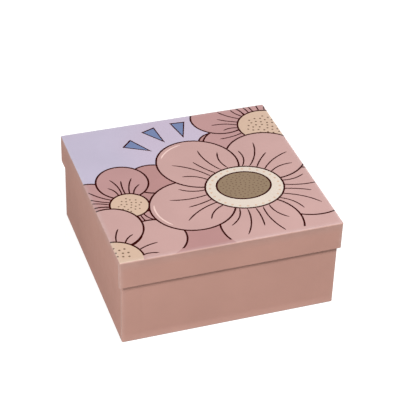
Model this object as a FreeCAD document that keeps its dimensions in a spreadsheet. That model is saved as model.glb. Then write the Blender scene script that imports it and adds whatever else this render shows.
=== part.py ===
"""A square lift-off-lid gift box for flowers, made as a set-up box: two greyboard trays, each with a
paper lining, taped corners and an outer wrap of printed paper that folds over the rim.

The origin is the middle of the underside, +Z is up and the front of the box faces -Y. Sizes are in
millimetres. Every tray is modelled standing on its closed face with its rim up; the lid's pieces are
then turned over by their Placement.
"""

import math
import os

import FreeCAD
import Part
import Sketcher

SHEET = "Sizes"

# The driving dimensions: alias, value in millimetres, what it is.
SIZES = [
    ("lid_width", 220.0, "outside of the lid, left to right"),
    ("lid_depth", 220.0, "outside of the lid, front to back"),
    ("lid_height", 30.0, "outside of the lid, rim to top"),
    ("base_height", 96.0, "outside of the base, underside to rim"),
    ("board", 1.5, "thickness of the greyboard"),
    ("wrap_paper", 0.2, "thickness of the laminated outer paper"),
    ("lining_paper", 0.15, "thickness of the lining paper"),
    ("stay_tape", 0.1, "thickness of the corner tape, and of the paste gap that it lies in"),
    ("stay_leg", 18.0, "how far a corner tape reaches along each wall"),
    ("stay_margin", 3.0, "from a tape's end to the end of the board"),
    ("turn_in", 15.0, "how far the wrap reaches down inside the rim"),
    ("fold_radius", 1.5, "outer radius of the wrap on the box's edges"),
    ("rim_radius", 0.4, "outer radius of the wrap where it folds over the rim"),
    ("corner_slit", 0.2, "gap where two walls of the folded board meet"),
    ("lid_play", 0.6, "gap on each side between the lid and the base"),
    ("seat_gap", 0.05, "gap between the base's rim and the lid's ceiling"),
]

# Sizes worked out from the driving ones, as expressions for FreeCAD to evaluate.
PAPER = f"{SHEET}.wrap_paper"
BOARD = f"{SHEET}.board"
LINING = f"{SHEET}.lining_paper"
TAPE = f"{SHEET}.stay_tape"
TO_BOARD = f"({PAPER} + {TAPE})"  # from the outside of a wall to its board
TO_LINING = f"({TO_BOARD} + {BOARD})"  # to the lining
TO_TURN_IN = f"({TO_LINING} + {LINING})"  # to the turned-in paper
WALL = f"({TO_TURN_IN} + {PAPER})"  # the whole wall at the rim
BOARD_RADIUS = f"({SHEET}.fold_radius - {TO_BOARD})"

LID = {
    "name": "lid",
    "width": f"{SHEET}.lid_width",
    "depth": f"{SHEET}.lid_depth",
    "height": f"{SHEET}.lid_height",
}
BASE = {
    "name": "base",
    "width": f"({LID['width']} - 2 * ({WALL} + {SHEET}.lid_play))",
    "depth": f"({LID['depth']} - 2 * ({WALL} + {SHEET}.lid_play))",
    "height": f"{SHEET}.base_height",
}
TOP_LAYERS = f"({PAPER} + {BOARD} + {LINING})"  # a tray's closed face, outside to inside
LID_TOP = f"({BASE['height']} + {SHEET}.seat_gap + {TOP_LAYERS})"

TOUCH = 1e-4  # how near a vertex is to a plane that it lies on
# Sketcher's numbers for the ends and centre of a line or arc, and for a sketch's own axes and origin.
LINE_START, LINE_END, ARC_CENTRE = 1, 2, 3
X_AXIS, Y_AXIS, ORIGIN = -1, -2, (-1, 1)
# Outlines are drawn roughly, this far from the origin and this thick; constraints then set the real sizes.
ROUGH = 9.0
ROUGH_GAP = 1.0


def make_sheet(doc):
    sheet = doc.addObject("Spreadsheet::Sheet", SHEET)
    for row, (alias, value, meaning) in enumerate(SIZES, start=1):
        sheet.set(f"A{row}", alias)
        sheet.set(f"B{row}", str(value))
        sheet.set(f"C{row}", meaning)
        sheet.setAlias(f"B{row}", alias)
    doc.recompute()
    return sheet


def make_body(doc, label):
    body = doc.addObject("PartDesign::Body", label)
    body.Label = label
    return body


def origin_feature(body, role):
    return next(f for f in body.Origin.OriginFeatures if f.Role == role)


def make_sketch(body, name, height="0"):
    """A sketch on the body's XY plane, raised by an expression."""
    sketch = body.newObject("Sketcher::SketchObject", f"{body.Label}_{name}")
    sketch.AttachmentSupport = [(origin_feature(body, "XY_Plane"), "")]
    sketch.MapMode = "FlatFace"
    sketch.setExpression("AttachmentOffset.Base.z", height)
    return sketch


def constrain(sketch, name, formula, *constraint):
    """Adds a named constraint whose value is an expression."""
    index = sketch.addConstraint(Sketcher.Constraint(*constraint))
    sketch.renameConstraint(index, name)
    sketch.setExpression(f"Constraints.{name}", formula)


def draw_loop(sketch, *corners):
    """A closed loop of straight lines through the corners given as (x, y)."""
    points = [FreeCAD.Vector(x, y, 0) for x, y in corners]
    for start, end in zip(points, points[1:] + points[:1]):
        sketch.addGeometry(Part.LineSegment(start, end))


def length_of(line):
    """What a distance constraint needs in order to set a line's own length."""
    return line, LINE_START, line, LINE_END


def add_rectangle(sketch, name, width, depth):
    """A rectangle round the sketch's origin. Width and depth are expressions."""
    first = len(sketch.Geometry)
    draw_loop(sketch, (-ROUGH, -ROUGH), (ROUGH, -ROUGH), (ROUGH, ROUGH), (-ROUGH, ROUGH))
    lines = [first + i for i in range(4)]
    for line, following in zip(lines, lines[1:] + lines[:1]):
        sketch.addConstraint(
            Sketcher.Constraint("Coincident", line, LINE_END, following, LINE_START)
        )
    for line in lines[0::2]:
        sketch.addConstraint(Sketcher.Constraint("Horizontal", line))
    for line in lines[1::2]:
        sketch.addConstraint(Sketcher.Constraint("Vertical", line))
    sketch.addConstraint(
        Sketcher.Constraint("Symmetric", lines[0], LINE_START, lines[1], LINE_END, *ORIGIN)
    )
    constrain(sketch, f"{name}_width", width, "DistanceX", *length_of(lines[0]), 2 * ROUGH)
    constrain(sketch, f"{name}_depth", depth, "DistanceY", *length_of(lines[1]), 2 * ROUGH)


def extrude(body, kind, sketch, name, length, reverse=False):
    """A Pad or Pocket of a sketch. Its length is an expression, and it has to change the body's volume."""
    before = body.Shape.Volume if body.Tip and not body.Shape.isNull() else 0.0
    feature = body.newObject(f"PartDesign::{kind}", f"{body.Label}_{name}")
    feature.Profile = sketch
    feature.setExpression("Length", length)
    feature.Reversed = reverse
    body.Document.recompute()
    gain = body.Shape.Volume - before
    if (gain > 0) != (kind == "Pad") or gain == 0:
        raise RuntimeError(f"{feature.Label} changed the volume by {gain}")
    return feature


def closed_side_edges(shape, outline):
    """Names of the shape's edges that run round a rectangular sketch or straight up from its corners."""
    box = outline.Shape.BoundBox

    def on_a_side(p):
        return abs(abs(p.x) - box.XMax) < TOUCH, abs(abs(p.y) - box.YMax) < TOUCH

    def in_outline(p):
        return abs(p.z - box.ZMin) < TOUCH and any(on_a_side(p))

    names = []
    for number, edge in enumerate(shape.Edges, start=1):
        points = [v.Point for v in edge.Vertexes]
        if all(all(on_a_side(p)) for p in points) or all(in_outline(p) for p in points):
            names.append(f"Edge{number}")
    return names


def rim_edges(shape):
    """Names of the shape's edges that lie in its highest plane."""
    top = shape.BoundBox.ZMax
    return [
        f"Edge{number}"
        for number, edge in enumerate(shape.Edges, start=1)
        if all(abs(v.Point.z - top) < TOUCH for v in edge.Vertexes)
    ]


def round_edges(body, feature, names, label, radius):
    fillet = body.newObject("PartDesign::Fillet", f"{body.Label}_{label}")
    fillet.Base = (feature, names)
    fillet.setExpression("Radius", radius)
    body.Document.recompute()
    if fillet.Shape.isNull() or "Invalid" in fillet.State:
        raise RuntimeError(f"{fillet.Label} failed on {names}")
    return fillet


def slit_corners(body, pocket_height, width, wall_line):
    """Cuts the side walls free of the front and back walls, which run the full width.
    wall_line is the expression for the distance from the middle to the front wall's inner face."""
    sketch = make_sketch(body, "slit_sketch", pocket_height)
    near = ROUGH - ROUGH_GAP
    draw_loop(sketch, (-ROUGH, near), (ROUGH, near), (ROUGH, ROUGH), (-ROUGH, ROUGH))
    for line in range(4):
        sketch.addConstraint(
            Sketcher.Constraint("Coincident", line, LINE_END, (line + 1) % 4, LINE_START)
        )
    for kind, line in (("Vertical", 1), ("Horizontal", 2), ("Vertical", 3)):
        sketch.addConstraint(Sketcher.Constraint(kind, line))
    sketch.addConstraint(Sketcher.Constraint("Symmetric", 0, LINE_START, 0, LINE_END, Y_AXIS))
    constrain(sketch, "slit_width", width, "DistanceX", *length_of(0), 2 * ROUGH)
    constrain(sketch, "slit_gap", f"{SHEET}.corner_slit", "DistanceY", *length_of(1), ROUGH_GAP)
    constrain(sketch, "slit_place", wall_line, "DistanceY", *ORIGIN, 1, LINE_END, ROUGH)
    return sketch


def mirror_front_to_back(body, feature):
    mirrored = body.newObject("PartDesign::Mirrored", f"{feature.Label}_mirrored")
    mirrored.Originals = [feature]
    mirrored.MirrorPlane = (origin_feature(body, "XZ_Plane"), [""])
    body.Tip = mirrored
    body.Document.recompute()
    return mirrored


def make_tray(doc, box, piece, inset, floor, thickness, radius=None):
    """A folded tray of one sheet: a floor and four walls that meet at slit corners.
    inset is how far its walls lie inside the box's outside, and floor how far its floor lies above
    the box's closed face. All sizes are expressions."""
    body = make_body(doc, f"{box['name']}_{piece}")
    width = f"({box['width']} - 2 * {inset})"
    depth = f"({box['depth']} - 2 * {inset})"
    top = f"({box['height']} - {PAPER})"
    outline = make_sketch(body, "outline", floor)
    add_rectangle(outline, "outline", width, depth)
    solid = extrude(body, "Pad", outline, "block", f"{top} - {floor}")
    if radius:
        names = closed_side_edges(solid.Shape, outline)
        round_edges(body, solid, names, "folds", radius)
    hollow = make_sketch(body, "hollow_outline", top)
    add_rectangle(hollow, "hollow", f"{width} - 2 * {thickness}", f"{depth} - 2 * {thickness}")
    inner_height = f"({top} - {floor} - {thickness})"
    extrude(body, "Pocket", hollow, "hollow", inner_height)
    slit = slit_corners(body, top, width, f"({depth} / 2 - {thickness})")
    mirror_front_to_back(body, extrude(body, "Pocket", slit, "slit", inner_height))
    return body


def make_wrap(doc, box):
    """The outer paper: round the walls and the closed face, over the rim and down inside it."""
    body = make_body(doc, f"{box['name']}_wrap")
    width, depth, height = box["width"], box["depth"], box["height"]
    outline = make_sketch(body, "outline")
    add_rectangle(outline, "outline", width, depth)
    extrude(body, "Pad", outline, "block", height)

    mouth_size = (f"{width} - 2 * {WALL}", f"{depth} - 2 * {WALL}")
    mouth = make_sketch(body, "mouth_outline", height)
    add_rectangle(mouth, "mouth", *mouth_size)
    extrude(body, "Pocket", mouth, "mouth", f"{height} - {PAPER}")

    channel = make_sketch(body, "channel_outline", PAPER)
    add_rectangle(channel, "channel", f"{width} - 2 * {PAPER}", f"{depth} - 2 * {PAPER}")
    cut = extrude(body, "Pocket", channel, "channel", f"{height} - 2 * {PAPER}", reverse=True)
    names = closed_side_edges(cut.Shape, channel)
    inner = round_edges(body, cut, names, "inner_folds", f"{SHEET}.fold_radius - {PAPER}")
    names = closed_side_edges(inner.Shape, outline)
    round_edges(body, inner, names, "folds", f"{SHEET}.fold_radius")

    ring = make_sketch(body, "turn_in_outline", f"{height} - {PAPER}")
    add_rectangle(ring, "outer", f"{width} - 2 * {TO_TURN_IN}", f"{depth} - 2 * {TO_TURN_IN}")
    add_rectangle(ring, "inner", *mouth_size)
    turn_in = extrude(body, "Pad", ring, "turn_in", f"{SHEET}.turn_in - {PAPER}", reverse=True)
    round_edges(body, turn_in, rim_edges(turn_in.Shape), "rim", f"{SHEET}.rim_radius")
    return body


def add_angle_outline(sketch, leg, thickness, radius):
    """The outline of a strip folded round a corner: its inner faces lie on the sketch's axes, the legs
    run along -X and -Y, and the bend has the inner radius given."""
    r = t = ROUGH_GAP
    far = ROUGH
    centre = FreeCAD.Vector(-r, -r, 0)
    up = FreeCAD.Vector(0, 0, 1)

    def line(x0, y0, x1, y1):
        return Part.LineSegment(FreeCAD.Vector(x0, y0, 0), FreeCAD.Vector(x1, y1, 0))

    def bend(radius_now):
        return Part.ArcOfCircle(Part.Circle(centre, up, radius_now), 0.0, math.pi / 2)

    top_inner = sketch.addGeometry(line(-far, 0, -r, 0))
    inner_bend = sketch.addGeometry(bend(r))
    side_inner = sketch.addGeometry(line(0, -r, 0, -far))
    side_end = sketch.addGeometry(line(0, -far, t, -far))
    side_outer = sketch.addGeometry(line(t, -far, t, -r))
    outer_bend = sketch.addGeometry(bend(r + t))
    top_outer = sketch.addGeometry(line(-r, t, -far, t))
    top_end = sketch.addGeometry(line(-far, t, -far, 0))

    def tie(kind, *ends):
        sketch.addConstraint(Sketcher.Constraint(kind, *ends))

    tie("Tangent", top_inner, LINE_END, inner_bend, LINE_END)
    tie("Tangent", inner_bend, LINE_START, side_inner, LINE_START)
    tie("Coincident", side_inner, LINE_END, side_end, LINE_START)
    tie("Coincident", side_end, LINE_END, side_outer, LINE_START)
    tie("Tangent", side_outer, LINE_END, outer_bend, LINE_START)
    tie("Tangent", outer_bend, LINE_END, top_outer, LINE_START)
    tie("Coincident", top_outer, LINE_END, top_end, LINE_START)
    tie("Coincident", top_end, LINE_END, top_inner, LINE_START)
    tie("Coincident", inner_bend, ARC_CENTRE, outer_bend, ARC_CENTRE)
    tie("PointOnObject", top_inner, LINE_START, X_AXIS)
    tie("PointOnObject", top_inner, LINE_END, X_AXIS)
    tie("PointOnObject", side_inner, LINE_START, Y_AXIS)
    tie("PointOnObject", side_inner, LINE_END, Y_AXIS)
    for line_across in (side_end, top_outer):
        tie("Horizontal", line_across)
    for line_up in (top_end, side_outer):
        tie("Vertical", line_up)
    constrain(sketch, "bend_radius", radius, "Radius", inner_bend, r)
    constrain(sketch, "thickness", thickness, "DistanceX", *length_of(side_end), t)
    constrain(sketch, "top_leg", leg, "DistanceX", top_inner, LINE_START, *ORIGIN, far)
    constrain(sketch, "side_leg", leg, "DistanceY", side_inner, LINE_END, *ORIGIN, far)


def make_corner_stays(doc, box, underside):
    """The four tapes that hold a tray's walls together, one on each corner of its board.
    underside is the expression for the height of the box's lowest face."""
    corners = [("back_right", 1, 1), ("back_left", -1, 1), ("front_left", -1, -1), ("front_right", 1, -1)]
    stays = []
    for turn, (corner, right, back) in enumerate(corners):
        body = make_body(doc, f"{box['name']}_corner_stay_{corner}")
        outline = make_sketch(body, "outline")
        add_angle_outline(outline, f"{SHEET}.stay_leg", TAPE, BOARD_RADIUS)
        length = f"{box['height']} - 2 * ({PAPER} + {SHEET}.stay_margin)"
        extrude(body, "Pad", outline, "strip", length)
        body.Placement.Rotation = FreeCAD.Rotation(FreeCAD.Vector(0, 0, 1), 90 * turn)
        body.setExpression("Placement.Base.x", f"{right} * ({box['width']} / 2 - {TO_BOARD})")
        body.setExpression("Placement.Base.y", f"{back} * ({box['depth']} / 2 - {TO_BOARD})")
        body.setExpression("Placement.Base.z", f"{underside} + {PAPER} + {SHEET}.stay_margin")
        stays.append(body)
    return stays


def turn_over(body):
    """Turns a tray rim down and sets its closed face at the height of the lid's top."""
    body.Placement.Rotation = FreeCAD.Rotation(FreeCAD.Vector(1, 0, 0), 180)
    body.setExpression("Placement.Base.z", LID_TOP)


def make_box(doc, box, underside):
    board = make_tray(doc, box, "board", TO_BOARD, PAPER, BOARD, radius=BOARD_RADIUS)
    lining = make_tray(doc, box, "lining", TO_LINING, f"({PAPER} + {BOARD})", LINING)
    wrap = make_wrap(doc, box)
    return [board, lining, wrap], make_corner_stays(doc, box, underside)


def check(doc, pieces):
    doc.recompute()
    failed = [o.Label for o in doc.Objects if {"Invalid", "Error"} & set(o.State)]
    if failed:
        raise RuntimeError(f"these objects failed: {failed}")
    for sketch in doc.findObjects("Sketcher::SketchObject"):
        if sketch.solve() or not sketch.FullyConstrained:
            raise RuntimeError(f"{sketch.Label} isn't fully constrained")
    for piece in pieces:
        shape = piece.Shape
        if shape.isNull() or not shape.isValid() or len(shape.Solids) != 1:
            raise RuntimeError(f"{piece.Label} isn't one valid solid")


def main():
    doc = FreeCAD.newDocument("flower_box")
    make_sheet(doc)
    base_trays, base_stays = make_box(doc, BASE, "0")
    lid_trays, lid_stays = make_box(doc, LID, f"{LID_TOP} - {LID['height']}")
    for tray in lid_trays:
        turn_over(tray)
    pieces = base_trays + base_stays + lid_trays + lid_stays
    check(doc, pieces)
    os.makedirs("parts", exist_ok=True)
    for piece in pieces:
        piece.Shape.exportStep(f"parts/{piece.Label}.step")


main()
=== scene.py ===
"""Looks for the flower gift box: the paper wraps of the base and lid, the print on the lid, and materials.

Everything is in metres in the CAD frame, +Z up and the front towards -Y. Each wrap is one sheet of paper,
made here as a closed thin mesh round the CAD board: a closed face, rounded folds, four walls, a rim and a
turned-in flap. The print is cut into the lid's paper as flat areas, each with its own ink.
"""

import math

import bmesh
import bpy
from mathutils import Matrix, Vector, geometry, noise


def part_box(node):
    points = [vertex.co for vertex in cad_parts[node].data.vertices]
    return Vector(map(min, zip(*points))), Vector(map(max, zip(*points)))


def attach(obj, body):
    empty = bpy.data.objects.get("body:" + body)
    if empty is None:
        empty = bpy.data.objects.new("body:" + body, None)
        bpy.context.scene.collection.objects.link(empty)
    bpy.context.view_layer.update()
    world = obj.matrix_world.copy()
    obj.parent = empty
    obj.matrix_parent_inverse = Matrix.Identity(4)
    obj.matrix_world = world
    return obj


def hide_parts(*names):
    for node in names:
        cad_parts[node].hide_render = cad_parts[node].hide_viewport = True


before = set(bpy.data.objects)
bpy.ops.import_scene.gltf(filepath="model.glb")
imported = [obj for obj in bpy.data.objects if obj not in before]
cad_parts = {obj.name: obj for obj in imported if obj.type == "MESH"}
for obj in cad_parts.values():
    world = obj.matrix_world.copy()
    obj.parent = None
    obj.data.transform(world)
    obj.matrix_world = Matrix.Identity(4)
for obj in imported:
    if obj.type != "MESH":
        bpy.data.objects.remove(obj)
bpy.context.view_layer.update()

MM = 0.001

# Paper and folds, in metres. The fold radii are those of the CAD wraps.
FOLD_RADIUS = 1.5 * MM
RIM_RADIUS = 0.4 * MM
PAPER = 0.2 * MM
BOARD_INSET = 0.3 * MM  # from the outside of a wall to its board
WALL = 2.15 * MM  # a whole wall at the rim
TURN_IN = 15 * MM
INNER_CORNER = 0.3 * MM  # radius of the paper in the tray's inner corners

# How far the paper's face lies inside a wall's outermost plane, by what is under it.
OVER_TAB = 0.0  # a corner tab of the same sheet, under a side panel
OVER_TAPE = 0.14 * MM
OVER_BOARD = 0.23 * MM

# The sheet's edges, lengths along a wall being from the end of the corner's bend.
SEAM_FROM_CORNER = 1.2 * MM  # where a side panel's cut edge lies
SEAM_WIDTH = 0.05 * MM
TAB_LENGTH = 12 * MM
SLOPE = 0.8 * MM  # half the width over which the paper slopes down at a hidden edge
FLAP_RISE = 0.15 * MM  # how far the overlapping turned-in flap stands over the one under it
FLAP_SLANT = math.tan(math.radians(32))

# Wear, which on the folds also paints a highlight, and unevenness.
WEAR_AND_HIGHLIGHT_REACH = 3.5 * MM  # how far the wear and the painted highlight spread from a fold
RIM_WEAR = 0.8
FOLD_WEAR_AND_HIGHLIGHT = {"lid": 1.0, "base": 0.45}  # how worn each tray's folds are, and how strong the highlight painted on them is
WAVE = 0.03 * MM  # unevenness of the pasted paper
WAVE_SIZE = 55 * MM
TOP_SAG = 0.1 * MM  # how far the middle of the closed face sinks

# How finely the mesh is divided.
BEND_STEPS = 6
BEND = [math.pi / 2 * i / BEND_STEPS for i in range(BEND_STEPS + 1)]
NEAR_CORNER = [0.4 * MM, 1.8 * MM, 3 * MM, 6 * MM]  # columns next to a corner's bend, from its end
ROUND_TAB = [-2, -1, 0, 1, 2]  # columns round the end of a hidden tab, in slopes from it
ROUND_TAPE = [-1.5, -0.75, 0, 0.75, 1.75]  # and round the end of a hidden tape
NEAR_FOLD = [0.3 * MM, 0.9 * MM]  # rows next to the fold round the closed face, from its end
NEAR_RIM = 0.5 * MM  # from the last row of a wall to the rim's fold
FLAP_ROWS = [0.05, 0.2, 0.4, 0.6, 0.8, 1.0]  # rows down the turned-in flap, as shares of it
FLAP_LIFT = 0.04  # the share of the flap over which it rises onto the one under it
COLUMN_GAP = 8 * MM
GRID_GAP = 5.5 * MM
MERGE = 0.002 * MM  # places nearer than this on the unrolled sheet are one
REPEAT = 0.0001 * MM  # a place nearer than this to the one before repeats it
INSIDE_OUTLINES = 1  # the triangulation's number for keeping only what lies in an outline
SHARP = math.radians(32)  # the mesh shows an edge where it turns by more than this

# The map of the unrolled sheet: the front's net, and the hidden back's beside it at this share of its size.
BACK_SIZE = 0.08
MAP_WIDTH = 2.3  # of the whole map, in half-widths of the front's net
NET_GAP = 0.01  # between the two nets, in the same
MAP_MARGIN = 0.01  # left of the front's net, as a share of the map

# Inks and papers, as linear RGB.
INK = {
    "plain": (0.480, 0.268, 0.219),
    "sky": (0.470, 0.425, 0.538),
    "petal": (0.485, 0.300, 0.280),
    "petal_back": (0.440, 0.250, 0.243),
    "petal_deep": (0.405, 0.216, 0.207),
    "line": (0.034, 0.002, 0.001),
    "shine": (0.720, 0.515, 0.470),
    "tan": (0.565, 0.400, 0.300),
    "cream": (0.620, 0.535, 0.460),
    "brown": (0.240, 0.166, 0.103),
    "seed": (0.150, 0.088, 0.055),
    "blue": (0.155, 0.202, 0.360),
    "core": (0.700, 0.670, 0.620),
}
SKY_BLUSH = (0.500, 0.415, 0.520)  # the sky's colour where it turns warmer
WORN_AND_HIGHLIT_INK = 0.7  # the share of an ink that is left where it is worn or painted lighter as a highlight
WORN_AND_HIGHLIT_PAPER = 0.22  # what bare fibres and the painted highlight add to it
# How much the laminated print shines. The dark lines are set lower, so that they stay dark.
GLOSS = 0.12
LINE_GLOSS = 0.02

# The studio, in metres. Lights are a place, a size and a power in watts.
CAMERA_PLACE = (-0.3886, -1.1114, 0.9150)
CAMERA_TURN = (19.46, 35.64, 1.81)  # degrees to the right of +Y, down, and rolled
LENS, SENSOR = 131.51, 36  # in mm
CAMERA_RANGE = (0.01, 50)
SOFTBOXES = {
    "softbox_front": ((0.70, -1.05, 1.76), 0.5, 44),
    "softbox_left": ((-1.00, -0.42, 0.25), 0.5, 7.6),
    "softbox_behind": ((1.25, 1.35, 0.25), 0.8, 24),
}
LIT_PLACE = (0, 0, 0.05)
WORLD_STRENGTH = 0.30
FLOOR_HALF = 8.0
FLOOR_GLOW = 0.88


def smooth_step(low, high, value):
    t = min(max((value - low) / (high - low), 0.0), 1.0)
    return t * t * (3 - 2 * t)


def fold_wear_and_highlight(angle, distance):
    """How worn a fold is, and how strong the highlight painted on it is, at this angle round it or, beyond
    it, this far from its end.
    """
    return (0.6 + 0.4 * math.sin(2 * angle)) * (1 - smooth_step(0.0, WEAR_AND_HIGHLIGHT_REACH, distance))


# ---------------------------------------------------------------- the paper's shape


class Tray:
    """Where a tray's wrap lies. drop is a distance from its closed face towards its rim."""

    def __init__(self, part):
        low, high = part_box(f"{part}_wrap")
        stay_low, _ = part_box(f"{part}_corner_stay_back_right")
        self.half = ((high.x - low.x) / 2, (high.y - low.y) / 2)
        self.core = tuple(half - FOLD_RADIUS for half in self.half)
        self.height = high.z - low.z
        self.down = -1 if part == "lid" else 1
        self.wear_and_highlight_strength = FOLD_WEAR_AND_HIGHLIGHT[part]
        self.face_z = high.z if part == "lid" else low.z
        self.tape_end = high.x - stay_low.x - FOLD_RADIUS
        self.columns = self.make_columns()

    def make_columns(self):
        """The columns of the mesh, anticlockwise from the left end of the front wall. Each says where it is
        as a share of the core along X and Y, its outward normal, the kind of wall, and how far it is from
        the nearer bend."""
        columns = []
        for quarter in range(4):
            along = self.core[quarter % 2]
            turn = math.pi / 2 * (quarter - 1)
            normal = (round(math.cos(turn)), round(math.sin(turn)))
            tangent = (-normal[1], normal[0])
            kind = "front" if quarter % 2 == 0 else "side"
            for distance, share in self.wall_places(along):
                place = tuple(n + t * share for n, t in zip(normal, tangent))
                columns.append({"place": place, "normal": normal, "kind": kind, "from_bend": distance})
            corner = tuple(n + t for n, t in zip(normal, tangent))
            for bend in BEND:
                across = (math.cos(turn + bend), math.sin(turn + bend))
                columns.append({"place": corner, "normal": across, "kind": "bend", "from_bend": 0.0})
        return columns

    def wall_places(self, along):
        """Where the columns of one wall are, in order: the distance from the nearer bend, and the share."""
        near = NEAR_CORNER + [SEAM_FROM_CORNER, SEAM_FROM_CORNER + SEAM_WIDTH]
        near += [TAB_LENGTH + SLOPE * n for n in ROUND_TAB]
        near += [self.tape_end + SLOPE * n for n in ROUND_TAPE]
        near.sort()
        count = math.ceil((along - near[-1]) / COLUMN_GAP)
        step = (along - near[-1]) / count
        distances = near + [near[-1] + step * i for i in range(1, count + 1)]
        start = [(d, d / along - 1) for d in distances]
        return start + [(d, 1 - d / along) for d in distances[-2::-1]]

    def point(self, column, inset, drop, radius):
        """A point at this inset from the outermost plane and this drop, on corners of this radius."""
        x, y = (
            (half - inset - radius) * share + normal * radius
            for half, share, normal in zip(self.half, column["place"], column["normal"])
        )
        return Vector((x, y, self.face_z + self.down * drop))

    def flat(self, column, length):
        """Where a point is on the unrolled sheet, this length of paper out from the core."""
        return tuple(
            core * share + normal * length
            for core, share, normal in zip(self.core, column["place"], column["normal"])
        )

    def relief(self, column, drop):
        """How far the paper's outer face lies inside the outermost plane of a wall."""
        distance = column["from_bend"]
        if column["kind"] == "bend":
            return OVER_TAPE
        on_side = column["kind"] == "side"
        if on_side and distance < SEAM_FROM_CORNER + SEAM_WIDTH / 2:
            return OVER_TAPE
        off_tape = smooth_step(self.tape_end - SLOPE, self.tape_end + SLOPE, distance)
        depth = OVER_TAPE + (OVER_BOARD - OVER_TAPE) * off_tape
        if on_side:
            off_tab = smooth_step(TAB_LENGTH - SLOPE, TAB_LENGTH + SLOPE, distance)
            depth += (OVER_TAB - OVER_TAPE) * (1 - off_tab)
        place = self.point(column, 0, drop, FOLD_RADIUS)
        return depth + WAVE * off_tape * noise.noise(place / WAVE_SIZE)

    def face_point(self, x, y):
        """Where the point x, y of the unrolled sheet lies on the closed face or the fold round it, and how
        worn it is there, with the highlight painted along the fold."""
        over = Vector((max(abs(x) - self.core[0], 0.0), max(abs(y) - self.core[1], 0.0)))
        angle = min(over.length / FOLD_RADIUS, math.pi / 2)
        out = over.normalized() * FOLD_RADIUS * math.sin(angle)
        inner_x = min(abs(x), self.core[0]) + out.x
        inner_y = min(abs(y), self.core[1]) + out.y
        room = max(0.0, 1 - (x / self.core[0]) ** 2) * max(0.0, 1 - (y / self.core[1]) ** 2)
        sag = TOP_SAG * math.sqrt(room)
        sag += WAVE * min(1.0, 4 * room) * noise.noise(Vector((x, y, self.face_z)) / WAVE_SIZE)
        drop = FOLD_RADIUS * (1 - math.cos(angle)) + max(sag, 0.0)
        place = (math.copysign(inner_x, x), math.copysign(inner_y, y), self.face_z + self.down * drop)
        inside = max(0.0, min(self.core[0] - abs(x), self.core[1] - abs(y)))
        return Vector(place), self.wear_and_highlight_strength * fold_wear_and_highlight(angle, inside)


def wall_rows(tray):
    """The rows of the sheet below its fold: front inset and drop, back inset and drop, the share of the
    outer relief that shows, and for the turned-in flap how far down it the row is, or None."""
    last = tray.height - RIM_RADIUS
    drops = [FOLD_RADIUS] + [FOLD_RADIUS + distance for distance in NEAR_FOLD]
    start, stop = drops[-1], last - NEAR_RIM
    count = max(3, round((stop - start) / COLUMN_GAP))
    drops += [start + (stop - start) * i / count for i in range(1, count + 1)] + [last]
    rows = []
    for drop in drops:
        shown = smooth_step(FOLD_RADIUS, start, drop)
        rows.append((0.0, drop, BOARD_INSET, drop, shown, None))
    for bend in BEND[1:]:
        c, s = math.cos(bend), math.sin(bend)
        front = (RIM_RADIUS * (1 - c), last + RIM_RADIUS * s)
        back = (RIM_RADIUS - (RIM_RADIUS - BOARD_INSET) * c, last + (RIM_RADIUS - PAPER) * s)
        rows.append((*front, *back, 1.0, None))
    inner = WALL - RIM_RADIUS
    for bend in BEND:
        c, s = math.cos(bend), math.sin(bend)
        front = (inner + RIM_RADIUS * s, last + RIM_RADIUS * c)
        back = (inner + (RIM_RADIUS - PAPER) * s, last + (RIM_RADIUS - PAPER) * c)
        rows.append((*front, *back, 0.0, 0.0))
    for share in FLAP_ROWS:
        drop = last - (TURN_IN - RIM_RADIUS) * share
        rows.append((WALL, drop, WALL - PAPER, drop, 0.0, share))
    return rows


def slanted(column, share, along):
    """The column moved along its wall for the turned-in flap, whose ends are cut at a slant, and how far the
    flap stands over the one under it."""
    distance = column["from_bend"]
    if column["kind"] != "side":
        return column, 0.0
    start = SEAM_FROM_CORNER + TURN_IN * share * FLAP_SLANT
    over = distance > SEAM_FROM_CORNER + SEAM_WIDTH / 2
    if over:
        past = (distance - SEAM_FROM_CORNER - SEAM_WIDTH) / (along - SEAM_FROM_CORNER - SEAM_WIDTH)
        moved = start + SEAM_WIDTH + (along - start - SEAM_WIDTH) * past
    else:
        moved = distance * start / SEAM_FROM_CORNER
    place = (column["place"][0], math.copysign(1 - moved / along, column["place"][1]))
    rise = FLAP_RISE * smooth_step(0.0, FLAP_LIFT, share) if over else 0.0
    return {**column, "place": place}, rise


def corner_radius(inset):
    return max(FOLD_RADIUS - inset, INNER_CORNER)


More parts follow.
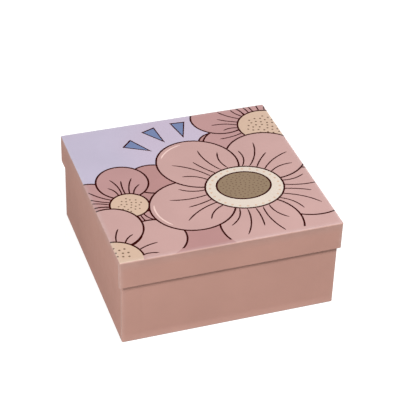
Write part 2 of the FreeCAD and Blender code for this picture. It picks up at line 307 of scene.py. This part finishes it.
class Sheet:
    """A mesh being made: its vertices, their wear and painted highlight, and faces with their ink and
    unrolled places.
    """

    def __init__(self, tray):
        self.tray = tray
        self.points = []
        self.wear_and_highlight = []
        self.faces = []
        self.extent = 0.0

    def add(self, point, wear_and_highlight=0.0):
        self.points.append(point)
        self.wear_and_highlight.append(wear_and_highlight)
        return len(self.points) - 1

    def add_face(self, corners, ink, flats):
        self.faces.append((corners, ink, flats))

    def back_flat(self, flat):
        """The hidden back's place on the map: the same net, small, beside the front's."""
        return (self.extent * (1 + NET_GAP + BACK_SIZE) + flat[0] * BACK_SIZE, flat[1] * BACK_SIZE)

    def build(self, name, materials):
        mesh = bpy.data.meshes.new(name)
        mesh.from_pydata(self.points, [], [corners for corners, _, _ in self.faces])
        inks = sorted({ink for _, ink, _ in self.faces})
        for ink in inks:
            mesh.materials.append(materials[ink])
        layer = mesh.uv_layers.new(name="OFBake")
        scale = 1 / (MAP_WIDTH * self.extent)
        for polygon, (_, ink, flats) in zip(mesh.polygons, self.faces):
            polygon.material_index = inks.index(ink)
            for loop, flat in zip(polygon.loop_indices, flats):
                layer.data[loop].uv = ((flat[0] + self.extent) * scale + MAP_MARGIN, flat[1] * scale + 0.5)
        # How worn each vertex is, with the highlight painted on the folds, for the paper's material.
        wear_and_highlight = mesh.attributes.new("wear_and_highlight", "FLOAT", "POINT")
        wear_and_highlight.data.foreach_set("value", self.wear_and_highlight)
        shape = bmesh.new()
        shape.from_mesh(mesh)
        bmesh.ops.recalc_face_normals(shape, faces=shape.faces)
        shape.to_mesh(mesh)
        shape.free()
        piece = bpy.data.objects.new(name, mesh)
        bpy.context.scene.collection.objects.link(piece)
        mesh.shade_smooth()
        mesh.set_sharp_from_angle(angle=SHARP)
        return piece


def rounded_ring(tray, length):
    """The unrolled places of a ring this far out from the core, or in from it, without repeats."""
    ring = []
    for column in tray.columns:
        place = tray.flat(column, max(length, 0.0))
        place = tuple(p * (1 + min(length, 0.0) / core) for p, core in zip(place, tray.core))
        if not ring or (Vector(place) - Vector(ring[-1])).length > REPEAT:
            ring.append(place)
    return ring


def add_front_face(sheet, areas):
    """The closed face with the folds round it, cut up along the edges of the areas. Returns the vertices of
    its outer ring, one for each column."""
    tray = sheet.tray
    # The last two rings lie inside the fold, over which its wear and painted highlight fade.
    lengths = [FOLD_RADIUS * bend for bend in reversed(BEND)] + [-WEAR_AND_HIGHLIGHT_REACH / 2, -WEAR_AND_HIGHLIGHT_REACH]
    places, edges, outlines = [], [], []
    for length in lengths:
        ring = rounded_ring(tray, length)
        start = len(places)
        places += ring
        corners = list(range(start, len(places)))
        edges += [(a, b) for a, b in zip(corners, corners[1:] + corners[:1])]
        if length == lengths[0]:
            outlines.append(corners)
    for ink, outline in areas:
        start = len(places)
        places += [(x * MM, y * MM) for x, y in outline]
        outlines.append(list(range(start, len(places))))
    steps = [int(core / GRID_GAP) for core in tray.core]
    for i in range(-steps[0], steps[0] + 1):
        for j in range(-steps[1], steps[1] + 1):
            places.append((i * GRID_GAP, j * GRID_GAP))
    inks = ["plain"] + [ink for ink, _ in areas]
    spots = [Vector(place) for place in places]
    result = geometry.delaunay_2d_cdt(spots, edges, outlines, INSIDE_OUTLINES, MERGE)
    flats, _, triangles, sources, _, origins = result
    index = []
    for flat in flats:
        point, wear_and_highlight = tray.face_point(flat.x, flat.y)
        index.append(sheet.add(point, wear_and_highlight))
    for triangle, origin in zip(triangles, origins):
        if origin:
            corners = [(flats[i].x, flats[i].y) for i in triangle]
            sheet.add_face([index[i] for i in triangle], inks[max(origin)], corners)
    found = {}
    for i, source in enumerate(sources):
        for s in source:
            found[s] = index[i]
    return [found[i] for i in range(len(tray.columns))]


def add_strip(sheet, upper, lower, inks, uppers, lowers):
    """Faces between two rings of vertices, with an ink for each column."""
    count = len(upper)
    for i in range(count):
        j = (i + 1) % count
        corners = (upper[i], upper[j], lower[j], lower[i])
        sheet.add_face(corners, inks[i], (uppers[i], uppers[j], lowers[j], lowers[i]))


def seam_inks(tray, shown, flap):
    """The ink of each column's strip: the paper's core where a cut edge shows, and plain elsewhere."""
    inks = []
    for i, column in enumerate(tray.columns):
        after = tray.columns[(i + 1) % len(tray.columns)]
        gap = abs(after["from_bend"] - column["from_bend"])
        cut = column["kind"] == after["kind"] == "side" and abs(gap - SEAM_WIDTH) < SEAM_WIDTH / 10
        inks.append("core" if cut and (shown > 0.5 or flap) else "plain")
    return inks


def add_walls(sheet, first_ring):
    """The front of the walls, the rim and the turned-in flap, then the whole back of the sheet."""
    tray = sheet.tray
    rows = wall_rows(tray)
    length = FOLD_RADIUS * math.pi / 2
    ring = first_ring
    flats = [tray.flat(column, length) for column in tray.columns]
    before = rows[0]
    for row in rows[1:]:
        inset, drop, _, _, shown, flap = row
        length += math.hypot(inset - before[0], drop - before[1])
        new_ring, new_flats = [], []
        for column in tray.columns:
            rise, depth, placed = 0.0, 0.0, column
            if flap is not None:
                placed, rise = slanted(column, flap, tray.core[1])
            if shown:
                depth = shown * tray.relief(column, drop)
            # Wear, with a highlight painted on the folds.
            worn_and_highlit = edge_wear_and_highlight(tray, column, row)
            radius = corner_radius(inset + depth)
            new_ring.append(sheet.add(tray.point(placed, inset + depth + rise, drop, radius), worn_and_highlit))
            new_flats.append(tray.flat(placed, length))
        add_strip(sheet, ring, new_ring, seam_inks(tray, shown, flap), flats, new_flats)
        ring, flats, before = new_ring, new_flats, row
    sheet.extent = length + max(tray.core)
    add_back(sheet, rows, ring, flats)


def edge_wear_and_highlight(tray, column, row):
    """How worn the paper is here: most in the middle of a corner's bend and along the rim. On the folds this
    also paints a highlight.
    """
    inset, drop, _, _, _, flap = row
    if flap:
        return 0.0
    if inset > 0:
        return RIM_WEAR
    turned = math.atan2(abs(column["normal"][1]), abs(column["normal"][0]))
    angle = turned if column["kind"] == "bend" else 0.0
    return tray.wear_and_highlight_strength * max(fold_wear_and_highlight(angle, column["from_bend"]), fold_wear_and_highlight(0.0, drop - FOLD_RADIUS))


def add_back(sheet, rows, front_ring, front_flats):
    """The hidden back of the sheet, from the turned-in flap's cut edge to the middle of the closed face."""
    tray = sheet.tray
    profile = []
    for bend in BEND[:-1]:
        inset = FOLD_RADIUS - (FOLD_RADIUS - BOARD_INSET) * math.sin(bend)
        drop = FOLD_RADIUS - (FOLD_RADIUS - PAPER) * math.cos(bend)
        profile.append((inset, drop, None))
    profile += [(row[2], row[3], row[5]) for row in rows]
    lengths = [0.0]
    for here, after in zip(profile, profile[1:]):
        lengths.append(lengths[-1] + math.hypot(after[0] - here[0], after[1] - here[1]))
    ring = front_ring
    for (inset, drop, flap), length in reversed(list(zip(profile, lengths))):
        placed = tray.columns
        if flap is not None:
            placed = [slanted(column, flap, tray.core[1])[0] for column in tray.columns]
        new_ring = [sheet.add(tray.point(column, inset, drop, corner_radius(inset))) for column in placed]
        new_flats = [sheet.back_flat(tray.flat(column, length)) for column in placed]
        if ring is front_ring:
            edge = [tray.flat(column, sheet.extent - max(tray.core) + PAPER) for column in placed]
            add_strip(sheet, ring, new_ring, ["core"] * len(ring), front_flats, edge)
        else:
            add_strip(sheet, ring, new_ring, ["core"] * len(ring), flats, new_flats)
        ring, flats = new_ring, new_flats
    sheet.add_face(tuple(ring), "core", flats)


# ---------------------------------------------------------------- the print


def disc(centre, radius, across=None, turn=0.0, sides=56):
    """A round outline, or an oval one whose half-width at right angles to turn is across."""
    across = across or radius
    points = []
    for i in range(sides):
        a = 2 * math.pi * i / sides
        x, y = radius * math.cos(a), across * math.sin(a)
        c, s = math.cos(turn), math.sin(turn)
        points.append((centre[0] + x * c - y * s, centre[1] + x * s + y * c))
    return points


def polar(centre, distance, degrees):
    a = math.radians(degrees)
    return (centre[0] + distance * math.cos(a), centre[1] + distance * math.sin(a))


def bowed(start, end, bow, points=12):
    """A path from start to end that bows to its left by a share of its length."""
    start, way = Vector(start), Vector(end) - Vector(start)
    side = Vector((-way.y, way.x))
    steps = [i / (points - 1) for i in range(points)]
    return [tuple(start + way * t + side * bow * 4 * t * (1 - t)) for t in steps]


def round_arc(centre, radius, start, end, points=16):
    """A path round part of a circle, from one angle to another."""
    return [polar(centre, radius, start + (end - start) * i / (points - 1)) for i in range(points)]


class Print:
    """A picture as a stack of flat areas, in millimetres on the unrolled sheet. Each is an ink and an
    outline, and a later one covers an earlier one. Lines and seeds stop short of the front edge."""

    LINE = 1.9  # width of an outline
    THIN_LINE = 1.5  # width of a fold line in a petal
    SHINE = 1.6  # width of a highlight
    STROKE_END, TAPER = 0.35, 6  # a stroke's width at its ends, and how fast it widens, in whole widths
    PETAL_WIDTH = 0.95  # as a share of its length
    FOLD_FAN = 1.1  # how much wider fold lines are fanned at their outer ends
    WEDGE_OUT, WEDGE_IN = 0.6, 0.4  # how far a wedge's outline reaches out and in, in line widths
    TIP_REACH = 2.5  # how many times further it reaches at the sharp tip
    LINE_END = 104.5  # where lines and seeds stop, from the middle towards the front edge

    def __init__(self, tray):
        self.edge = (tray.core[0] + FOLD_RADIUS * math.pi / 4) / MM  # the middle of the fold
        self.areas = []

    def add(self, ink, outline):
        """Add a convex area, cut to the printed square."""
        front = self.LINE_END if ink in ("line", "seed") else self.edge
        limits = ((0, 1, self.edge), (0, -1, self.edge), (1, 1, self.edge), (1, -1, front))
        for axis, sign, limit in limits:
            kept = []
            for i, here in enumerate(outline):
                before = outline[i - 1]
                inside, was_inside = sign * here[axis] <= limit, sign * before[axis] <= limit
                if inside != was_inside:
                    t = (sign * limit - before[axis]) / (here[axis] - before[axis])
                    kept.append(tuple(b + (h - b) * t for b, h in zip(before, here)))
                if inside:
                    kept.append(here)
            outline = kept
        if len(outline) > 2:
            self.areas.append((ink, outline))

    def stroke(self, ink, path, width):
        """A pen stroke along a path, thinner at its ends."""
        left, right = [], []
        for i, here in enumerate(path):
            way = Vector(path[min(i + 1, len(path) - 1)]) - Vector(path[max(i - 1, 0)])
            side = Vector((-way.y, way.x)).normalized()
            t = i / (len(path) - 1)
            half = width / 2 * min(1.0, self.STROKE_END + self.TAPER * min(t, 1 - t))
            left.append(tuple(Vector(here) + side * half))
            right.append(tuple(Vector(here) - side * half))
        for i in range(len(path) - 1):
            self.add(ink, [right[i], right[i + 1], left[i + 1], left[i]])

    def outlined(self, ink, centre, radius, across=None, turn=0.0):
        across = across or radius
        half = self.LINE / 2
        self.add("line", disc(centre, radius + half, across + half, turn))
        self.add(ink, disc(centre, radius - half, across - half, turn))

    def petal(self, ink, heart, heart_radius, degrees, distance, radius, folds):
        """A round petal behind a flower's heart. Each fold line is its angle from the petal's middle, its
        length and its bow."""
        centre, across = polar(heart, distance, degrees), radius * self.PETAL_WIDTH
        self.outlined(ink, centre, radius, across, math.radians(degrees))
        for spread, length, bow in folds:
            start = polar(heart, heart_radius - 1, degrees + spread)
            end = polar(heart, heart_radius + length, degrees + spread * self.FOLD_FAN)
            self.stroke("line", bowed(start, end, bow), self.THIN_LINE)

    def seeds(self, centre, radius, count, size, squash=1.0):
        """Seeds set out as in a sunflower, each a golden angle on from the last."""
        golden = math.degrees(math.pi * (3 - math.sqrt(5)))
        for i in range(count):
            x, y = polar((0, 0), radius * math.sqrt((i + 0.5) / count), i * golden)
            if centre[1] + y * squash - size > -self.LINE_END:
                self.add("seed", disc((centre[0] + x, centre[1] + y * squash), size, sides=10))

    def wedge(self, centre, degrees, tip, length, half_width):
        """A slim triangle that points at centre, with an outline, which reaches further at the sharp tip."""
        for ink, grow in (("line", self.LINE * self.WEDGE_OUT), ("blue", -self.LINE * self.WEDGE_IN)):
            start, end = tip - grow * self.TIP_REACH, tip + length + grow
            spread = math.degrees((half_width + grow) / end)
            corners = [polar(centre, start, degrees)]
            corners += [polar(centre, end, degrees - spread), polar(centre, end, degrees + spread)]
            self.add(ink, corners)

    def side_flower(self, ink, heart, heart_radius, turns, distance, radius, folds):
        """Petals round a tan heart, from the back one to the front one. turns are their angles."""
        for degrees in turns:
            self.petal(ink, heart, heart_radius, degrees, distance, radius, folds)
        self.outlined("tan", heart, heart_radius)


def add_large_flower(art):
    """The flower in front: seven petals, and a brown middle in a dotted cream ring."""
    heart, heart_radius, distance = (40, -28), 37, 60
    folds = ((-24, 28, 0.12), (-12, 40, 0.08), (1, 28, 0.04), (13, 42, -0.08), (24, 26, -0.12))
    for degrees, radius in ((302, 50), (14, 46)):
        art.petal("petal", heart, heart_radius, degrees, 76, radius, ())
    for degrees in (338, 266, 50, 194, 122):
        art.petal("petal", heart, heart_radius, degrees, distance, 42, folds)
    for degrees, start, end in ((122, 100, 150), (194, 165, 222)):
        art.stroke("shine", round_arc(polar(heart, distance, degrees), 37, start, end), art.SHINE)
    art.outlined("cream", heart, 39, 35)
    middle = (40, -25)
    art.outlined("brown", middle, 27, 22.5)
    art.seeds(middle, radius=23.5, count=90, size=0.8, squash=0.82)
    dots, ring, squash, shift = 28, 34.5, 0.9, -0.5
    for i in range(dots):
        x, y = polar((0, 0), ring, 360 / dots * i)
        art.add("tan", disc((heart[0] + x, heart[1] + y * squash + shift), 1.3, sides=12))


def flower_print(tray):
    """Plain round-petalled flowers against a pale sky, with three short blue wedges over the largest."""
    art = Print(tray)
    far = 200  # well past the sheet's edges
    art.add("sky", [(-far, -far), (far, -far), (far, far), (-far, far)])
    art.add("petal_deep", [(-far, -far), (far, -far), (far, 60), (60, 60), (-115, -20)])
    for centre, radius in (((-42, 10), 24), ((40, 52), 20), ((-28, -92), 30)):
        art.outlined("petal_deep", centre, radius)

    short_folds = ((-24, 15, 0.1), (-6, 20, 0.06), (14, 18, -0.08))
    back_folds = ((-24, 17, 0.1), (-12, 26, 0.06), (1, 22, 0.04), (13, 27, -0.08), (24, 16, -0.12))
    heart = (98, 70)
    art.side_flower("petal_back", heart, 29, (95, 205, 150), distance=50, radius=29, folds=back_folds)
    art.seeds(heart, radius=20, count=40, size=1.1)
    heart = (-76, -26)
    art.side_flower("petal_back", heart, 19, (150, 215, 275, 85), distance=38, radius=27, folds=back_folds)
    art.seeds(heart, radius=12, count=22, size=0.9)
    heart = (-112, -104)
    art.side_flower("petal", heart, 27, (25, 78), distance=48, radius=31, folds=short_folds)
    art.seeds(heart, radius=19, count=40, size=1.1)
    add_large_flower(art)

    for degrees in (136, 111, 86):
        art.wedge((6, 23), degrees, tip=51, length=26, half_width=7)
    return art.areas


# ---------------------------------------------------------------- materials


class Finish:
    """A material being made from nodes, in the object's own coordinates."""

    def __init__(self, name):
        self.material = bpy.data.materials.new(name)
        self.material.use_nodes = True
        self.tree = self.material.node_tree
        self.shader = self.tree.nodes["Principled BSDF"]
        self.place = self.tree.nodes.new("ShaderNodeTexCoord").outputs["Object"]

    def join(self, value, socket):
        if hasattr(value, "is_output"):
            self.tree.links.new(value, socket)
        else:
            socket.default_value = value

    def noise(self, size, detail=3.0, stretch=None):
        """Noise from 0 to 1 with features of about this size in metres."""
        place = self.place
        if stretch:
            mapping = self.tree.nodes.new("ShaderNodeMapping")
            mapping.inputs["Scale"].default_value = stretch
            self.join(place, mapping.inputs["Vector"])
            place = mapping.outputs["Vector"]
        node = self.tree.nodes.new("ShaderNodeTexNoise")
        node.inputs["Scale"].default_value = 1 / size
        node.inputs["Detail"].default_value = detail
        self.join(place, node.inputs["Vector"])
        return node.outputs["Fac"]

    def spread(self, value, low, high, to_low, to_high):
        node = self.tree.nodes.new("ShaderNodeMapRange")
        self.join(value, node.inputs["Value"])
        for name, number in zip(("From Min", "From Max", "To Min", "To Max"), (low, high, to_low, to_high)):
            node.inputs[name].default_value = number
        return node.outputs["Result"]

    def times(self, a, b):
        node = self.tree.nodes.new("ShaderNodeMath")
        node.operation = "MULTIPLY"
        self.join(a, node.inputs[0])
        self.join(b, node.inputs[1])
        return node.outputs[0]

    def mix(self, share, a, b):
        node = self.tree.nodes.new("ShaderNodeMix")
        node.data_type = "RGBA"
        self.join(share, node.inputs["Factor"])
        for value, socket in ((a, node.inputs[6]), (b, node.inputs[7])):
            self.join(value if hasattr(value, "is_output") else (*value, 1.0), socket)
        return node.outputs[2]

    def attribute(self, name):
        node = self.tree.nodes.new("ShaderNodeAttribute")
        node.attribute_name = name
        return node.outputs["Fac"]

    def bump(self, height, distance, under=None):
        node = self.tree.nodes.new("ShaderNodeBump")
        node.inputs["Distance"].default_value = distance
        self.join(height, node.inputs["Height"])
        if under:
            self.join(under, node.inputs["Normal"])
        return node.outputs["Normal"]

    def finish(self, colour, roughness, normal=None):
        self.join(colour, self.shader.inputs["Base Color"])
        self.join(roughness, self.shader.inputs["Roughness"])
        if normal:
            self.join(normal, self.shader.inputs["Normal"])
        return self.material


def shade(colour, amount):
    return tuple(min(c * amount, 1.0) for c in colour)


def printed_paper(ink):
    """Matt laminated paper in one ink, with faint clouds, a fine grain and pale wear on its folds, which
    also paints a highlight along them.
    """
    f = Finish(f"{ink}_paper")
    colour = INK[ink]
    clouds = f.spread(f.noise(45 * MM), 0.3, 0.7, 0.0, 1.0)
    grain = f.noise(0.35 * MM, 2.0)
    base = f.mix(clouds, shade(colour, 0.965), shade(colour, 1.03))
    if ink == "sky":
        base = f.mix(f.spread(f.noise(120 * MM, 1.0), 0.35, 0.65, 0.0, 1.0), base, SKY_BLUSH)
    flecks = f.spread(grain, 0.56, 0.72, 0.0, 0.10)
    base = f.mix(flecks, base, shade(colour, 1.18))
    # The folds are lightened by wear and by a painted highlight, broken up by scuffs.
    scuffs_and_highlight = f.spread(f.noise(7 * MM, 5.0), 0.35, 0.70, 0.28, 0.50)
    worn_and_highlit = f.times(f.attribute("wear_and_highlight"), scuffs_and_highlight)
    base = f.mix(worn_and_highlit, base, tuple(WORN_AND_HIGHLIT_INK * c + WORN_AND_HIGHLIT_PAPER for c in colour))
    f.shader.inputs["Specular IOR Level"].default_value = LINE_GLOSS if ink == "line" else GLOSS
    roughness = f.spread(f.noise(6 * MM), 0.3, 0.7, 0.50, 0.60)
    normal = f.bump(grain, 0.012 * MM, f.bump(f.noise(9 * MM, 2.0), 0.025 * MM))
    return f.finish(base, roughness, normal)


def core_paper():
    """The raw edge and back of the wrap: warm white uncoated paper."""
    f = Finish("core_paper")
    fibres = f.noise(0.5 * MM, 6.0)
    base = f.mix(f.spread(fibres, 0.35, 0.65, 0.0, 1.0), shade(INK["core"], 0.9), INK["core"])
    return f.finish(base, f.spread(fibres, 0.3, 0.7, 0.75, 0.9), f.bump(fibres, 0.03 * MM))


def lining_paper():
    """Uncoated off-white lining paper with soft fibres and slight paste marks."""
    f = Finish("lining_paper_finish")
    fibres = f.noise(0.6 * MM, 6.0, stretch=(1.0, 0.6, 1.0))
    paste = f.spread(f.noise(30 * MM, 3.0), 0.35, 0.65, 0.0, 1.0)
    base = f.mix(paste, (0.72, 0.69, 0.64), (0.79, 0.765, 0.72))
    base = f.mix(f.spread(fibres, 0.5, 0.75, 0.0, 0.3), base, (0.62, 0.58, 0.52))
    normal = f.bump(fibres, 0.03 * MM, f.bump(f.noise(9 * MM, 2.0), 0.05 * MM))
    return f.finish(base, f.spread(fibres, 0.3, 0.7, 0.7, 0.86), normal)


def greyboard():
    """Recycled board: warm grey with light and dark fibres."""
    f = Finish("greyboard_finish")
    fibres = f.noise(0.8 * MM, 8.0, stretch=(1.0, 0.5, 1.0))
    base = f.mix(f.noise(12 * MM, 4.0), (0.27, 0.25, 0.22), (0.36, 0.33, 0.29))
    base = f.mix(f.spread(fibres, 0.56, 0.7, 0.0, 0.7), base, (0.50, 0.46, 0.40))
    base = f.mix(f.spread(fibres, 0.44, 0.32, 0.0, 0.6), base, (0.12, 0.11, 0.10))
    return f.finish(base, f.spread(fibres, 0.3, 0.7, 0.8, 0.95), f.bump(fibres, 0.08 * MM))


def kraft_tape():
    """Brown gummed paper tape, with fibres that run along it."""
    f = Finish("kraft_tape_finish")
    fibres = f.noise(0.9 * MM, 7.0, stretch=(1.0, 1.0, 0.15))
    base = f.mix(f.spread(fibres, 0.35, 0.65, 0.0, 1.0), (0.30, 0.18, 0.095), (0.42, 0.27, 0.15))
    base = f.mix(f.spread(f.noise(14 * MM), 0.4, 0.7, 0.0, 0.4), base, (0.26, 0.155, 0.085))
    return f.finish(base, f.spread(fibres, 0.3, 0.7, 0.5, 0.68), f.bump(fibres, 0.03 * MM))


def dress_cad_nodes():
    """Give the boards, linings and stays that stay as CAD nodes their own finishes."""
    finishes = {"board": greyboard(), "lining": lining_paper(), "stay": kraft_tape()}
    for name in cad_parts:
        for word, material in finishes.items():
            if word in name:
                for slot in bpy.data.objects[name].material_slots:
                    slot.material = material


# ---------------------------------------------------------------- the wraps


def make_wrap(part, materials, areas):
    tray = Tray(part)
    sheet = Sheet(tray)
    ring = add_front_face(sheet, areas(tray) if areas else [])
    add_walls(sheet, ring)
    piece = sheet.build(f"{part}_paper_wrap", materials)
    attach(piece, part)
    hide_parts(f"{part}_wrap")


# ---------------------------------------------------------------- the studio


def place_camera():
    """A long lens from the front left, looking down at the box."""
    yaw, pitch, roll = (math.radians(angle) for angle in CAMERA_TURN)
    ahead = Vector((math.sin(yaw) * math.cos(pitch), math.cos(yaw) * math.cos(pitch), -math.sin(pitch)))
    level = Vector((math.cos(yaw), -math.sin(yaw), 0))
    upright = level.cross(ahead)
    right = level * math.cos(roll) + upright * math.sin(roll)
    up = upright * math.cos(roll) - level * math.sin(roll)
    turn = Matrix((right, up, -ahead)).transposed().to_4x4()
    data = bpy.data.cameras.new("camera")
    data.lens = LENS
    data.sensor_width = SENSOR
    data.clip_start, data.clip_end = CAMERA_RANGE
    camera = bpy.data.objects.new("camera", data)
    camera.matrix_world = Matrix.Translation(CAMERA_PLACE) @ turn
    bpy.context.scene.collection.objects.link(camera)
    bpy.context.scene.camera = camera


def add_softbox(name, place, size, power):
    """A square white light that faces the box."""
    data = bpy.data.lights.new(name, "AREA")
    data.size = size
    data.energy = power
    light = bpy.data.objects.new(name, data)
    towards = Vector(LIT_PLACE) - Vector(place)
    light.location = place
    light.rotation_euler = towards.to_track_quat("-Z", "Y").to_euler()
    bpy.context.scene.collection.objects.link(light)


def light_table():
    """A large pale floor that also glows, so that the box stands on plain white with only a faint shadow.
    The glow is for the camera alone, and doesn't light the box from below."""
    half = FLOOR_HALF
    mesh = bpy.data.meshes.new("floor")
    corners = [(-half, -half, 0), (half, -half, 0), (half, half, 0), (-half, half, 0)]
    mesh.from_pydata(corners, [], [(0, 1, 2, 3)])
    floor = bpy.data.objects.new("floor", mesh)
    bpy.context.scene.collection.objects.link(floor)
    f = Finish("floor_finish")
    f.shader.inputs["Emission Color"].default_value = (1, 1, 1, 1)
    glow = f.tree.nodes.new("ShaderNodeLightPath").outputs["Is Camera Ray"]
    f.join(f.times(glow, FLOOR_GLOW), f.shader.inputs["Emission Strength"])
    f.shader.inputs["Specular IOR Level"].default_value = 0.0
    tone = f.mix(f.noise(0.4), (0.29, 0.29, 0.29), (0.31, 0.31, 0.31))
    mesh.materials.append(f.finish(tone, f.spread(f.noise(0.1), 0.3, 0.7, 0.85, 0.95)))


def light_studio():
    scene = bpy.context.scene
    scene.view_settings.view_transform = "Standard"
    world = bpy.data.worlds.new("world")
    world.use_nodes = True
    world.node_tree.nodes["Background"].inputs["Color"].default_value = (1, 1, 1, 1)
    world.node_tree.nodes["Background"].inputs["Strength"].default_value = WORLD_STRENGTH
    scene.world = world
    for name, (place, size, power) in SOFTBOXES.items():
        add_softbox(name, place, size, power)


materials = {ink: printed_paper(ink) for ink in INK if ink != "core"}
materials["core"] = core_paper()
make_wrap("base", materials, None)
make_wrap("lid", materials, flower_print)
dress_cad_nodes()
place_camera()
light_table()
light_studio()
